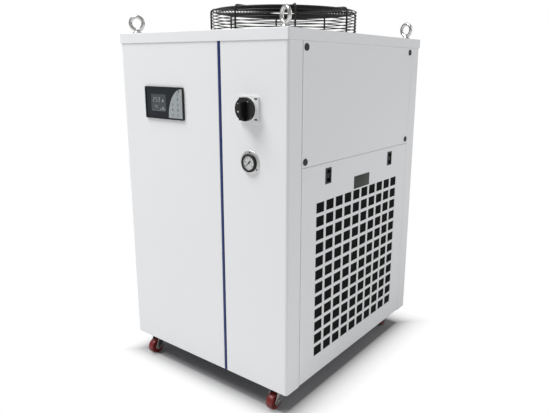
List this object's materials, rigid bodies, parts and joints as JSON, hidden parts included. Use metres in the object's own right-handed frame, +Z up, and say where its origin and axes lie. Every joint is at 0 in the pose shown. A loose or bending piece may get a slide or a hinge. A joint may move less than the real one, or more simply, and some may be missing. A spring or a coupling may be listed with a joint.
{
  "type": "industrial water chiller",
  "caption": "Air-cooled process water chiller: a sheet-metal cabinet on swivel casters with a punched air grille, a caged top fan, a controller, a rotary switch and a pressure gauge.",
  "frame": {"origin": "on the floor, under the centre of the cabinet", "axes": "+Z up, the front with its controller faces -Y, +X to the right as seen from the front"},
  "size_m": [0.6544, 0.833, 1.154],
  "materials": {
    "cabinet_paint": "ivory powder coat, satin",
    "blue_trim": "dark blue, semi-gloss",
    "zinc_sheet": "zinc-plated, satin",
    "bright_steel": "bright plated steel",
    "pale_wire": "pale coated wire",
    "black_plastic": "black, satin",
    "dark_mesh": "fine dark mesh",
    "slate_plastic": "slate grey, satin",
    "display_green": "grey-green display",
    "grey_membrane": "grey membrane",
    "pale_plastic": "pale grey, satin",
    "gauge_metal": "silver",
    "white_dial": "white",
    "pointer_black": "black",
    "clear_glass": "clear",
    "black_metal": "black paint",
    "fan_plastic": "dark grey blades",
    "black_rubber": "black rubber",
    "fin_aluminium": "fine fins",
    "stainless": "brushed stainless",
    "copper": "copper tube",
    "tank_plastic": "translucent white",
    "pump_green": "dark paint",
    "hose_rubber": "black hose",
    "brass": "turned brass",
    "red_handle": "red sleeve",
    "contactor_grey": "grey",
    "wheel_red": "dark red, worn"
  },
  "bodies": {
    "cabinet": {"base_tray": "zinc_sheet", "frame_posts": "zinc_sheet", "frame_rails": "zinc_sheet", "front_left_panel": "cabinet_paint", "front_right_panel": "cabinet_paint", "trim_strip": "blue_trim", "rear_panel": "cabinet_paint", "right_upper_panel": "cabinet_paint", "left_upper_panel": "cabinet_paint", "right_filter_panel": "cabinet_paint", "left_lower_panel": "cabinet_paint", "filter_gauze": "dark_mesh", "latch_frames": "black_plastic", "screw_caps": "black_plastic", "top_cover": "cabinet_paint", "eye_bolts": "bright_steel", "controller_case": "black_plastic", "controller_face": "slate_plastic", "display_window": "display_green", "keypad": "grey_membrane", "switch_body": "pale_plastic", "gauge_case": "gauge_metal", "gauge_dial": "white_dial", "gauge_lens": "clear_glass", "fan_guard": "pale_wire", "fan_bracket": "zinc_sheet", "fan_motor": "black_metal", "compressor": "black_metal", "compressor_feet": "black_rubber", "condenser": "fin_aluminium", "evaporator": "stainless", "filter_drier": "copper", "refrigerant_pipes": "copper", "water_tank": "tank_plastic", "water_pump": "pump_green", "water_hoses": "hose_rubber", "electric_plate": "zinc_sheet", "contactors": "contactor_grey", "water_ports": "brass", "drain_valve": "brass", "cable_gland": "black_plastic", "fill_neck": "black_plastic", "caster_plates": "bright_steel"},
    "fan": {"fan_impeller": "fan_plastic"},
    "knob": {"switch_knob": "pale_plastic"},
    "pointer": {"gauge_pointer": "pointer_black"},
    "front_latch": {"latch_front": "black_plastic"},
    "rear_latch": {"latch_rear": "black_plastic"},
    "drain_lever": {"drain_handle": "red_handle"},
    "cap": {"fill_cap": "black_plastic"},
    "swivel_fl": {"caster_fork_fl": "bright_steel"},
    "wheel_fl": {"caster_wheel_fl": "wheel_red"},
    "swivel_fr": {"caster_fork_fr": "bright_steel"},
    "wheel_fr": {"caster_wheel_fr": "wheel_red"},
    "swivel_rl": {"caster_fork_rl": "bright_steel"},
    "wheel_rl": {"caster_wheel_rl": "wheel_red"},
    "swivel_rr": {"caster_fork_rr": "bright_steel"},
    "wheel_rr": {"caster_wheel_rr": "wheel_red"}
  },
  "joints": [
    {"name": "fan_spin", "type": "hinge", "parent": "cabinet", "child": "fan", "pos_m": [0, 0.028, 1.053], "axis": [0, 0, 1], "continuous": true},
    {"name": "knob_turn", "type": "hinge", "parent": "cabinet", "child": "knob", "pos_m": [0.1995, -0.395, 0.868], "axis": [0, 1, 0], "range_deg": [0, 90]},
    {"name": "pointer_turn", "type": "hinge", "parent": "cabinet", "child": "pointer", "pos_m": [0.199, -0.383, 0.7255], "axis": [0, 1, 0], "range_deg": [0, 270], "stiffness_Nm_per_rad": 0.0002, "springref_deg": -28.65},
    {"name": "front_latch_slide", "type": "slide", "parent": "cabinet", "child": "front_latch", "axis": [0, 0, -1], "range_m": [0, 0.008], "stiffness_N_per_m": 300, "springref_m": -0.005},
    {"name": "rear_latch_slide", "type": "slide", "parent": "cabinet", "child": "rear_latch", "axis": [0, 0, -1], "range_m": [0, 0.008], "stiffness_N_per_m": 300, "springref_m": -0.005},
    {"name": "drain_turn", "type": "hinge", "parent": "cabinet", "child": "drain_lever", "pos_m": [-0.07, 0.3875, 0.155], "axis": [0, 0, -1], "range_deg": [0, 90]},
    {"name": "cap_lift", "type": "slide", "parent": "cabinet", "child": "cap", "axis": [0, 0, 1], "range_m": [0, 0.05]},
    {"name": "caster_swivel_fl", "type": "hinge", "parent": "cabinet", "child": "swivel_fl", "pos_m": [-0.263, -0.333, 0.06], "axis": [0, 0, 1], "continuous": true},
    {"name": "caster_roll_fl", "type": "hinge", "parent": "swivel_fl", "child": "wheel_fl", "pos_m": [-0.263, -0.357, 0.025], "axis": [1, 0, 0], "continuous": true},
    {"name": "caster_swivel_fr", "type": "hinge", "parent": "cabinet", "child": "swivel_fr", "pos_m": [0.263, -0.333, 0.06], "axis": [0, 0, 1], "continuous": true},
    {"name": "caster_roll_fr", "type": "hinge", "parent": "swivel_fr", "child": "wheel_fr", "pos_m": [0.263, -0.357, 0.025], "axis": [1, 0, 0], "continuous": true},
    {"name": "caster_swivel_rl", "type": "hinge", "parent": "cabinet", "child": "swivel_rl", "pos_m": [-0.263, 0.333, 0.06], "axis": [0, 0, 1], "continuous": true},
    {"name": "caster_roll_rl", "type": "hinge", "parent": "swivel_rl", "child": "wheel_rl", "pos_m": [-0.263, 0.309, 0.025], "axis": [1, 0, 0], "continuous": true},
    {"name": "caster_swivel_rr", "type": "hinge", "parent": "cabinet", "child": "swivel_rr", "pos_m": [0.263, 0.333, 0.06], "axis": [0, 0, 1], "continuous": true},
    {"name": "caster_roll_rr", "type": "hinge", "parent": "swivel_rr", "child": "wheel_rr", "pos_m": [0.263, 0.309, 0.025], "axis": [1, 0, 0], "continuous": true}
  ]
}
